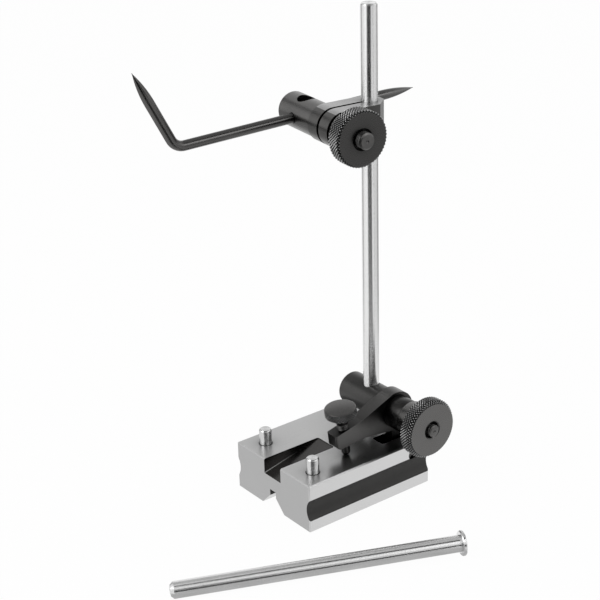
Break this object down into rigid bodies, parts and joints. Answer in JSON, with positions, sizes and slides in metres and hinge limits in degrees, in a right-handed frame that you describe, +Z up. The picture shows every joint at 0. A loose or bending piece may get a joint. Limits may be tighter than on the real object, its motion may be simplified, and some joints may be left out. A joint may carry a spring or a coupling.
{
  "type": "surface gauge",
  "caption": "Surface gauge: grooved steel base block with a rocking arm, swivelling spindle, split clamp and bent double-ended scriber, and a loose short spindle.",
  "frame": {"origin": "middle of the base block's sole, on the V-groove's centre line", "axes": "+Z up along the spindle; +X along the block and its V-groove towards the spindle end; +Y away from the clamp knob's side"},
  "size_m": [0.1886, 0.1331, 0.241],
  "materials": {
    "ground_steel": "fine ground",
    "bright_steel": "ground and polished",
    "black_steel": "satin black oxide",
    "scriber_steel": "hardened, black oxide",
    "spring_steel": "drawn wire"
  },
  "bodies": {
    "base": {"base_block": "ground_steel", "rocker_pivot_pin": "black_steel", "rocker_spring": "spring_steel"},
    "guide_near": {"guide_pin_near": "bright_steel", "pin_ring_near": "spring_steel"},
    "guide_far": {"guide_pin_far": "bright_steel", "pin_ring_far": "spring_steel"},
    "rocker": {"rocker_arm": "black_steel"},
    "fine_screw": {"fine_adjust_screw": "black_steel"},
    "spindle_swivel": {"spindle_barrel": "black_steel", "spindle_bolt": "black_steel", "clamp_spacer": "black_steel"},
    "knob": {"clamp_knob": "black_steel"},
    "spindle_rod": {"spindle": "bright_steel"},
    "spindle_clamp": {"spindle_clamp_body": "black_steel", "scriber_washer": "black_steel"},
    "scriber_swivel": {"scriber_barrel": "black_steel", "scriber_bolt": "black_steel"},
    "nut": {"scriber_nut": "black_steel"},
    "scriber_rod": {"scriber": "scriber_steel"},
    "loose_spindle": {"short_spindle": "bright_steel", "short_spindle_collar": "bright_steel"}
  },
  "joints": [
    {"name": "rocker_tilt", "type": "hinge", "parent": "base", "child": "rocker", "pos_m": [0.0276, -0.01575, 0.0193], "axis": [0, 1, 0], "range_deg": [-3.5, 3.5], "deforming": ["rocker_spring"]},
    {"name": "fine_screw_feed", "type": "slide", "parent": "rocker", "child": "fine_screw", "axis": [0.1305, 0, -0.9914], "range_m": [-0.0021, 0.0021]},
    {"name": "spindle_swing", "type": "hinge", "parent": "rocker", "child": "spindle_swivel", "pos_m": [0.025, 0, 0.0407], "axis": [0, 1, 0], "range_deg": [-90, 90]},
    {"name": "knob_turn", "type": "hinge", "parent": "spindle_swivel", "child": "knob", "pos_m": [0.025, -0.035, 0.0407], "axis": [0, 1, 0], "continuous": true},
    {"name": "spindle_turn", "type": "hinge", "parent": "spindle_swivel", "child": "spindle_rod", "pos_m": [0.025, 0, 0.0407], "axis": [0, 0, 1], "continuous": true},
    {"name": "clamp_height", "type": "slide", "parent": "spindle_rod", "child": "spindle_clamp", "axis": [0, 0, -1], "range_m": [-0.045, 0.115]},
    {"name": "scriber_swing", "type": "hinge", "parent": "spindle_clamp", "child": "scriber_swivel", "pos_m": [0.00532, 0.00214, 0.1862], "axis": [0.108, 0.9942, 0], "continuous": true},
    {"name": "nut_turn", "type": "hinge", "parent": "scriber_swivel", "child": "nut", "pos_m": [0.00532, 0.00214, 0.1862], "axis": [0.108, 0.9942, 0], "continuous": true},
    {"name": "scriber_slide", "type": "slide", "parent": "scriber_swivel", "child": "scriber_rod", "axis": [0.9932, -0.1079, 0.0436], "range_m": [-0.033, 0.055]},
    {"name": "guide_near_slide", "type": "slide", "parent": "base", "child": "guide_near", "axis": [0, 0, 1], "range_m": [-0.008, 0]},
    {"name": "guide_far_slide", "type": "slide", "parent": "base", "child": "guide_far", "axis": [0, 0, 1], "range_m": [-0.008, 0]},
    {"name": "loose_spindle_lift", "type": "slide", "parent": "base", "child": "loose_spindle", "axis": [0, 0, 1], "range_m": [0, 0.15]}
  ],
  "couplings": [
    {"joint": "fine_screw_feed", "follows": "rocker_tilt", "m_per_rad": 0.03253}
  ]
}
